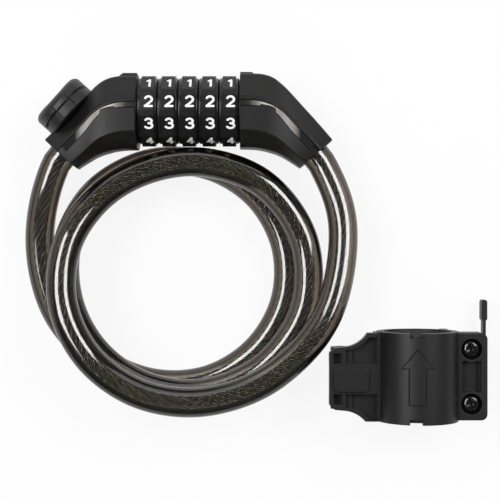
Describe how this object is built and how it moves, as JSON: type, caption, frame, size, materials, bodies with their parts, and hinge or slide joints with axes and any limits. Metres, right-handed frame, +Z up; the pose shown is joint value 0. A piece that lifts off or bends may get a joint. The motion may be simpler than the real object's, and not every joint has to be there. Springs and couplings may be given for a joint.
{
  "type": "cable lock",
  "caption": "Combination cable lock: a dial lock head with a coiled, jacketed steel cable, and a separate clamp bracket for a round bicycle frame tube.",
  "frame": {"origin": "middle of the box of the lock head and bracket, on the surface they lie on", "axes": "+X along the lock head from its fixed housing to its plug, +Y from the coil towards the head, +Z up from the surface"},
  "size_m": [0.1928, 0.142, 0.0405],
  "materials": {
    "housing_plastic": "matte moulded",
    "inlay_plastic": "satin grey",
    "dial_plastic": "gloss with white digits",
    "stud_plastic": "satin moulded",
    "bracket_plastic": "matte moulded",
    "lock_steel": "machined",
    "spring_steel": "bright",
    "code_brass": "machined",
    "ferrule_aluminium": "crimped",
    "jacket_vinyl": "smoky translucent",
    "cable_steel": "twisted strands",
    "liner_rubber": "matte",
    "screw_black": "gloss black"
  },
  "bodies": {
    "lock_body": {"left_housing_front": "housing_plastic", "left_housing_back": "housing_plastic", "left_inlay": "inlay_plastic", "lock_core": "lock_steel", "left_ferrule": "ferrule_aluminium", "lock_tube": "lock_steel", "detent_spring": "spring_steel", "tube_end_cap": "lock_steel", "stud_base": "stud_plastic", "stud_cap": "stud_plastic", "stud_screw": "lock_steel", "cable_jacket_left": "jacket_vinyl", "cable_jacket_coil": "jacket_vinyl", "cable_jacket_right": "jacket_vinyl", "cable_core_left": "cable_steel", "cable_core_coil": "cable_steel", "cable_core_right": "cable_steel"},
    "plug": {"right_housing_front": "housing_plastic", "right_housing_back": "housing_plastic", "right_inlay": "inlay_plastic", "plug_core": "lock_steel", "plug_rod": "lock_steel", "right_ferrule": "ferrule_aluminium"},
    "dial_body_1": {"dial_1": "dial_plastic", "code_ring_1": "code_brass"},
    "dial_body_2": {"dial_2": "dial_plastic", "code_ring_2": "code_brass"},
    "dial_body_3": {"dial_3": "dial_plastic", "code_ring_3": "code_brass"},
    "dial_body_4": {"dial_4": "dial_plastic", "code_ring_4": "code_brass"},
    "dial_body_5": {"dial_5": "dial_plastic", "code_ring_5": "code_brass"},
    "bracket": {"clamp_front": "bracket_plastic", "clamp_rear": "bracket_plastic", "liner_front": "liner_rubber", "liner_rear": "liner_rubber", "clamp_nuts": "lock_steel", "hinge_pin": "lock_steel", "latch_pin": "lock_steel", "latch_spring": "spring_steel"},
    "screw_upper": {"clamp_screw_upper": "screw_black"},
    "screw_lower": {"clamp_screw_lower": "screw_black"},
    "latch": {"release_latch": "bracket_plastic"}
  },
  "joints": [
    {"name": "dial_turn_1", "type": "hinge", "parent": "lock_body", "child": "dial_body_1", "pos_m": [-0.04766, 0.055, 0.0155], "axis": [1, 0, 0], "continuous": true},
    {"name": "dial_turn_2", "type": "hinge", "parent": "lock_body", "child": "dial_body_2", "pos_m": [-0.03936, 0.055, 0.0155], "axis": [1, 0, 0], "continuous": true},
    {"name": "dial_turn_3", "type": "hinge", "parent": "lock_body", "child": "dial_body_3", "pos_m": [-0.03106, 0.055, 0.0155], "axis": [1, 0, 0], "continuous": true},
    {"name": "dial_turn_4", "type": "hinge", "parent": "lock_body", "child": "dial_body_4", "pos_m": [-0.02276, 0.055, 0.0155], "axis": [1, 0, 0], "continuous": true},
    {"name": "dial_turn_5", "type": "hinge", "parent": "lock_body", "child": "dial_body_5", "pos_m": [-0.01446, 0.055, 0.0155], "axis": [1, 0, 0], "continuous": true},
    {"name": "plug_slide", "type": "slide", "parent": "lock_body", "child": "plug", "axis": [1, 0, 0], "range_m": [0, 0.0455], "deforming": ["cable_jacket_right", "cable_core_right"]},
    {"name": "bracket_lift", "type": "slide", "parent": "lock_body", "child": "bracket", "axis": [0, 0, 1], "range_m": [0, 0.1]},
    {"name": "screw_turn_upper", "type": "hinge", "parent": "bracket", "child": "screw_upper", "pos_m": [0.08294, -0.042, 0.0256], "axis": [0, 0, 1], "continuous": true},
    {"name": "screw_turn_lower", "type": "hinge", "parent": "bracket", "child": "screw_lower", "pos_m": [0.08294, -0.064, 0.0256], "axis": [0, 0, 1], "continuous": true},
    {"name": "latch_turn", "type": "hinge", "parent": "bracket", "child": "latch", "pos_m": [0.08734, -0.063, 0.0055], "axis": [0, 0, 1], "range_deg": [0, 4], "stiffness_Nm_per_rad": 0.5, "deforming": ["latch_spring"]}
  ]
}
